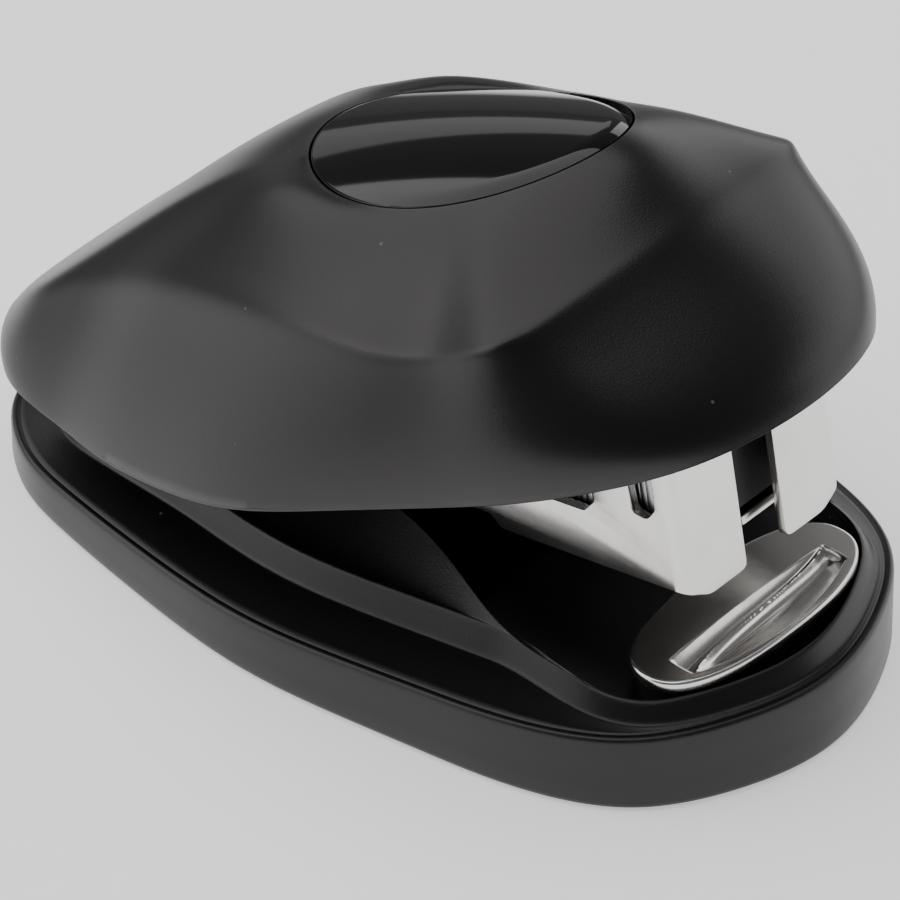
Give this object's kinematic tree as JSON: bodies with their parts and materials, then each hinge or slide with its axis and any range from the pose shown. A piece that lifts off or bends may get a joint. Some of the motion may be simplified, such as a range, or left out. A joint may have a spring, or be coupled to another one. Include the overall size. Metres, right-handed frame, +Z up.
{
  "type": "stapler",
  "caption": "Compact desk stapler: moulded cover over a sheet-metal magazine that swings on a rear pin above a rounded base with a two-way anvil plate, all in pieces that move.",
  "frame": {"origin": "middle of the footprint, on the surface the stapler stands on", "axes": "+X across the stapler, +Y from the staple mouth to the hinge end, +Z up"},
  "size_m": [0.0368, 0.0604, 0.0368],
  "materials": {
    "satin_black_plastic": "satin, fine moulded grain",
    "gloss_black_plastic": "polished",
    "inner_black_plastic": "plain moulded",
    "rubber_mat": "matt",
    "nickel_plated_sheet": "bright nickel plate",
    "zinc_plated_steel": "zinc plate",
    "spring_steel": "drawn, bright",
    "staple_wire": "drawn, glued strip"
  },
  "bodies": {
    "base": {"base_shell": "satin_black_plastic", "base_mat": "rubber_mat", "anvil_plate": "nickel_plated_sheet", "anvil_clip": "spring_steel", "base_bracket": "zinc_plated_steel", "bracket_screw_1": "zinc_plated_steel", "bracket_screw_2": "zinc_plated_steel", "hinge_pin": "zinc_plated_steel", "lift_spring": "spring_steel"},
    "magazine": {"magazine_body": "nickel_plated_sheet", "staple_rail": "inner_black_plastic", "staple_strip": "staple_wire", "spring_rod": "zinc_plated_steel", "pusher_spring": "spring_steel", "cover_spring": "spring_steel"},
    "pusher_slide_body": {"pusher": "inner_black_plastic"},
    "cover": {"top_cover": "satin_black_plastic", "cover_inlay": "gloss_black_plastic", "driver_arm": "zinc_plated_steel", "driver_blade": "spring_steel", "blade_rivet": "zinc_plated_steel"}
  },
  "joints": [
    {"name": "magazine_hinge", "type": "hinge", "parent": "base", "child": "magazine", "pos_m": [0, 0.0223, 0.0106], "axis": [1, 0, 0], "range_deg": [0, 5], "stiffness_Nm_per_rad": 0.35, "springref_deg": -11.46, "deforming": ["lift_spring"]},
    {"name": "cover_hinge", "type": "hinge", "parent": "magazine", "child": "cover", "pos_m": [0, 0.0223, 0.0106], "axis": [1, 0, 0], "range_deg": [-45, 9.9], "stiffness_Nm_per_rad": 0.12, "deforming": ["cover_spring"]},
    {"name": "pusher_slide", "type": "slide", "parent": "magazine", "child": "pusher_slide_body", "axis": [0, 0.985, -0.1723], "range_m": [0, 0.005], "stiffness_N_per_m": 60, "springref_m": -0.02, "deforming": ["pusher_spring"]}
  ]
}
